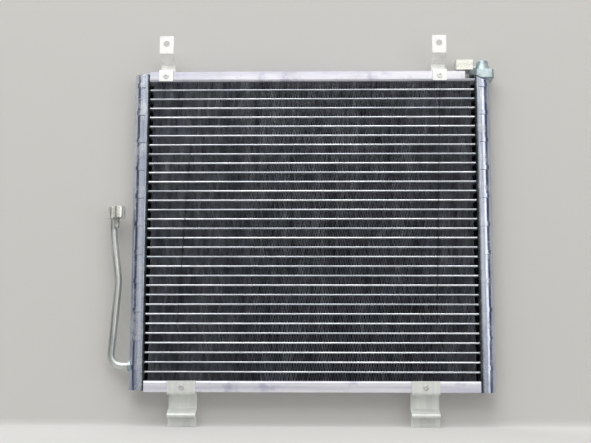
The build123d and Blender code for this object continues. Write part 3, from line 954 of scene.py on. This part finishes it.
@dataclass
class Fittings:
    """The inlet fitting on the right header, and the outlet pipe with its block and stud."""

    workshop: Workshop
    thread_pitch: float = 1.0 * MM
    thread_depth: float = 0.45 * MM
    bead: float = 0.9 * MM

    def build(self) -> None:
        """Finish the castings, blocks and pipes, cut the stud's thread and lay the beads."""
        for node in ("inlet_collar", "inlet_stub", "outlet_ferrule"):
            self.workshop.eased_copy(node, CAST, "cast_metal")
        for node in ("inlet_block", "outlet_block"):
            self.workshop.eased_copy(node, BLOCK, "block_metal")
        self.workshop.eased_copy("outlet_pipe", PIPE, "pipe_metal", 0.0)
        self.build_stud()
        self.build_beads()

    def build_stud(self) -> None:
        """Cut the stud's thread: the radius falls and rises once each pitch along a helix.

        The radius at an angle and a height is the outer radius less the depth times a triangle
        wave of height over pitch minus the angle's share of a turn, and it narrows at both ends.
        """
        low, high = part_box("outlet_stud")
        block_low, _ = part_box("outlet_block")
        centre = (low + high) / 2
        outer = (high[0] - low[0]) / 2
        around, per_pitch = 24, 8
        length = block_low[2] - low[2]
        count = int(length / self.thread_pitch * per_pitch) + 1
        height = np.linspace(0, length, count)
        angle = np.linspace(0, 2 * math.pi, around, endpoint=False)
        phase = height[:, None] / self.thread_pitch - angle[None, :] / (2 * math.pi)
        wave = np.abs(2 * (phase - np.floor(phase + 0.5)))
        end = np.clip(height / (0.8 * MM), 0, 1)[:, None]
        radius = outer - self.thread_depth * wave - (1 - end) * 0.5 * MM
        rings = np.empty((count, around, 3))
        rings[:, :, 0] = centre[0] + radius * np.cos(angle)
        rings[:, :, 1] = centre[1] + radius * np.sin(angle)
        rings[:, :, 2] = low[2] + height[:, None]
        piece = drawn_bar(rings).piece("outlet_stud_threaded", 60.0)
        self.workshop.dress(piece, STUD, "stud_metal")
        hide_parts("outlet_stud")

    def build_beads(self) -> None:
        """Lay a bead of brazing where the pipe meets its ferrule and its block, and at the stub."""
        ferrule_low, ferrule_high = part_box("outlet_ferrule")
        block_low, block_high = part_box("outlet_block")
        pipe_low, pipe_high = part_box("outlet_pipe")
        stub_low, stub_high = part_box("inlet_stub")
        inlet_low, inlet_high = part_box("inlet_block")
        pipe_radius = (pipe_high[1] - pipe_low[1]) / 2
        stub_radius = (stub_high[1] - stub_low[1]) / 2
        middle_y = (pipe_low[1] + pipe_high[1]) / 2
        ferrule_z = (ferrule_low[2] + ferrule_high[2]) / 2
        stub_y, stub_z = (stub_low[1] + stub_high[1]) / 2, (stub_low[2] + stub_high[2]) / 2
        beads = {
            "ferrule_bead": (Vector((ferrule_low[0], middle_y, ferrule_z)), Vector((-1, 0, 0)), pipe_radius),
            "outlet_block_bead": (
                Vector((pipe_low[0] + pipe_radius, middle_y, block_low[2])), Vector((0, 0, -1)), pipe_radius
            ),
            "stub_bead": (Vector((inlet_high[0], stub_y, stub_z)), Vector((1, 0, 0)), stub_radius),
        }
        sweep = np.linspace(0, math.pi / 2, 6)
        for name, (centre, axis, radius) in beads.items():
            radii = radius + self.bead * np.concatenate([[-0.3], 1 - np.sin(sweep), [-0.3]])
            heights = self.bead * np.concatenate([[-0.3], 1 - np.cos(sweep), [1.0]])
            piece = turned(radii, heights, centre, axis, 32).piece(name)
            self.workshop.dress(piece, CAST, "cast_metal")


@dataclass
class Studio:
    """The pale floor, the wall behind, the lamps, the world and the camera."""

    lens: float = 67.0
    place: tuple[float, float, float] = (0.0190, -1.1440, -0.3583)
    pitch: float = 8.197
    yaw: float = 1.313
    roll: float = 0.134
    pale: tuple[int, int, int] = (218, 216, 212)
    pale_shade: tuple[int, int, int] = (214, 213, 210)
    card_distance: float = 1.6
    card_bearing: float = 46.0
    card_spread: float = 34.0
    front_card: tuple[float, float] = (-0.3, -2.2)
    wall_gap: float = 1.5 * MM
    cove: float = 8 * MM

    def build(self) -> None:
        """Set up the camera, the floor and wall, and the light."""
        self.build_camera()
        self.build_floor()
        self.build_wall()
        self.build_cards()
        self.build_lamps()
        self.build_world()

    def build_camera(self) -> None:
        """Place the camera where the photograph was taken from."""
        camera = bpy.data.objects.new("camera", bpy.data.cameras.new("camera"))
        bpy.context.scene.collection.objects.link(camera)
        camera.data.sensor_width = 36.0
        camera.data.lens = self.lens
        turn = Euler((math.radians(90 + self.pitch), 0, math.radians(self.yaw))).to_matrix()
        turn = turn @ Matrix.Rotation(math.radians(self.roll), 3, "Z")
        camera.matrix_world = Matrix.Translation(self.place) @ turn.to_4x4()
        bpy.context.scene.camera = camera

    def _stage_piece(self, name: str, shape: Shape, material: bpy.types.Material) -> bpy.types.Object:
        """Make a stage object from a shape."""
        piece = shape.piece(name)
        piece.data.materials.append(material)
        piece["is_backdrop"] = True
        return piece

    def build_floor(self) -> None:
        """Lay the floor at the height of the feet."""
        low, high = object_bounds()
        reach = 6.0
        corners = np.array([[-reach, -reach], [reach, -reach], [reach, reach], [-reach, reach]])
        points = np.column_stack([corners, np.full(4, low[2])])
        material = bpy.data.materials.new("studio_floor")
        material.use_nodes = True
        w = Wiring(material.node_tree)
        w.tree.nodes.clear()
        place = w.add("ShaderNodeTexCoord").outputs["Object"]
        cloud = w.ramp(w.noise(place, 3.0), 0.3, 0.7)
        paint = w.blend(cloud, linear(*self.pale), linear(*self.pale_shade))
        shader = w.add("ShaderNodeBsdfDiffuse", {"Color": paint, "Roughness": 0.6})
        w.add("ShaderNodeOutputMaterial", {"Surface": shader.outputs[0]})
        self._stage_piece("studio_floor", Shape(points, [np.array([[0, 1, 2, 3]])]), material)

    def build_wall(self) -> None:
        """Raise the wall close behind: a level strip, a quarter round, then an upright sheet.

        It shows only its front to the camera and to reflections, and lets other light through, so
        that the object's back stays lit and is seen from behind.
        """
        low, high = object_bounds()
        turn = np.linspace(0, math.pi / 2, 16)
        front = high[1] + 0.1 * MM
        wall = front + self.wall_gap
        y = np.concatenate([[front - self.cove], wall - self.cove + self.cove * np.sin(turn), [wall]])
        z = np.concatenate([[0.0], self.cove - self.cove * np.cos(turn), [0.9]])
        z = low[2] + 0.2 * MM + z
        rings = np.empty((2, len(y), 3))
        rings[:, :, 0] = np.array([-1.2, 1.2])[:, None]
        rings[:, :, 1] = y[None, :]
        rings[:, :, 2] = z[None, :]
        material = self._card_material("studio_wall", self._front_rays, self.pale)
        faces = grid_faces(2, len(y), False, False)
        self._stage_piece("studio_wall", Shape(rings.reshape(-1, 3), [faces[:, ::-1]]), material)

    def build_cards(self) -> None:
        """Stand dark cards at both sides and lay one in front, seen only in reflections.

        They draw the dark lines on round metal: a surface whose normal leans out by half a card's
        bearing mirrors the card. One more dark card, seen from the front alone, closes the shade
        behind the core, where the wall gets no light.
        """
        low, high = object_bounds()
        middle = (low + high) / 2
        mirrored = self._card_material("mirrored_card", self._glossy_rays, (44, 46, 62))
        for side in Side:
            bearings = np.radians(np.array([self.card_bearing, self.card_bearing + self.card_spread]))
            x = middle[0] + side.value * self.card_distance * np.sin(bearings)
            y = -self.card_distance * np.cos(bearings)
            points = np.array([[x[k], y[k], middle[2] + z] for k in (0, 1) for z in (-1.5, 1.5)])
            self._sheet(f"{side.name.lower()}_card", points, mirrored)
        near, far = self.front_card
        ground = low[2] + 2 * MM
        points = np.array([[x, y, ground] for x in (-1.2, 1.2) for y in (near, far)])
        self._sheet("front_card", points, mirrored)
        shade = self._card_material("shade_card", self._front_rays, (34, 33, 38))
        left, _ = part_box("left_header_plate")
        _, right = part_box("right_header_plate")
        _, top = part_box("top_channel")
        bottom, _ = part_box("bottom_channel")
        back = high[1] + 0.5 * MM
        inset = 6 * MM
        points = np.array(
            [
                [x, back, z]
                for x in (right[0] - inset, left[0] + inset)
                for z in (bottom[2] + 0.2 * inset, top[2] - 0.2 * inset)
            ]
        )
        self._sheet("shade_card", points, shade)

    def _sheet(self, name: str, points: np.ndarray, material: bpy.types.Material) -> None:
        """Add a flat stage piece of four points, the second beside the first and the fourth last."""
        self._stage_piece(name, Shape(points, [grid_faces(2, 2, False, False)]), material)

    @staticmethod
    def _glossy_rays(w: Wiring) -> bpy.types.NodeSocket:
        """Return 1 for rays that left a glossy surface."""
        return w.add("ShaderNodeLightPath").outputs["Is Glossy Ray"]

    @staticmethod
    def _front_rays(w: Wiring) -> bpy.types.NodeSocket:
        """Return 1 for rays that see and come from the surface's front."""
        behind = w.add("ShaderNodeNewGeometry").outputs["Backfacing"]
        return w.math("MULTIPLY", seen_rays(w), w.math("SUBTRACT", 1.0, behind))

    @staticmethod
    def _card_material(
        name: str, seen_by: Callable[[Wiring], bpy.types.NodeSocket], colour: tuple[int, int, int]
    ) -> bpy.types.Material:
        """Make a painted sheet that only some rays see, and that lets the others through.

        Args:
            name: the material's name.
            seen_by: adds the nodes that tell which rays see the sheet.
            colour: its paint as it looks on a screen.

        Returns:
            The material.
        """
        material = bpy.data.materials.new(name)
        material.use_nodes = True
        w = Wiring(material.node_tree)
        w.tree.nodes.clear()
        paint = w.add("ShaderNodeBsdfDiffuse", {"Color": linear(*colour), "Roughness": 0.6})
        clear = w.add("ShaderNodeBsdfTransparent")
        mix = w.add("ShaderNodeMixShader", {0: seen_by(w), 1: clear.outputs[0], 2: paint.outputs[0]})
        w.add("ShaderNodeOutputMaterial", {"Surface": mix.outputs[0]})
        return material

    def build_lamps(self) -> None:
        """Hang the soft lamps: a key from the upper left, a fill, one above and one behind."""
        low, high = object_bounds()
        middle = (low + high) / 2
        lamps = {
            "key": ((-0.3, -1.3, 1.5), 1.8, 25.0),
            "fill": ((1.3, -1.6, 0.3), 1.4, 7.0),
            "above": ((0.1, -0.1, 1.9), 1.0, 8.0),
            "behind": ((-0.5, 1.5, 1.5), 1.0, 16.0),
        }
        for name, (offset, size, power) in lamps.items():
            lamp = bpy.data.objects.new(name, bpy.data.lights.new(name, "AREA"))
            bpy.context.scene.collection.objects.link(lamp)
            lamp.data.shape = "SQUARE"
            lamp.data.size = size
            lamp.data.energy = power
            where = middle + Vector(offset)
            aim = (middle - where).to_track_quat("-Z", "Y")
            lamp.matrix_world = Matrix.Translation(where) @ aim.to_matrix().to_4x4()

    def build_world(self) -> None:
        """Light the world softly, and show it pale to the camera and in reflections."""
        world = bpy.data.worlds.new("studio")
        bpy.context.scene.world = world
        world.use_nodes = True
        w = Wiring(world.node_tree)
        w.tree.nodes.clear()
        ambient = w.add("ShaderNodeBackground", {"Color": (0.95, 0.97, 1.0, 1.0), "Strength": 0.35})
        shown = w.add("ShaderNodeBackground", {"Color": linear(*self.pale), "Strength": 1.0})
        mix = w.add("ShaderNodeMixShader", {0: seen_rays(w), 1: ambient.outputs[0], 2: shown.outputs[0]})
        w.add("ShaderNodeOutputWorld", {"Surface": mix.outputs[0]})
        bpy.context.scene.view_settings.view_transform = "Standard"


def main() -> None:
    """Build every sub-assembly in order."""
    logging.basicConfig(level=logging.INFO, format="%(name)s %(message)s")
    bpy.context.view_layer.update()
    Studio().build()
    workshop = Workshop()
    for assembly in (Core(workshop), Headers(workshop), FoldedStrips(workshop), Fittings(workshop)):
        LOG.info("building %s", type(assembly).__name__)
        assembly.build()


if __name__ == "__main__":
    main()
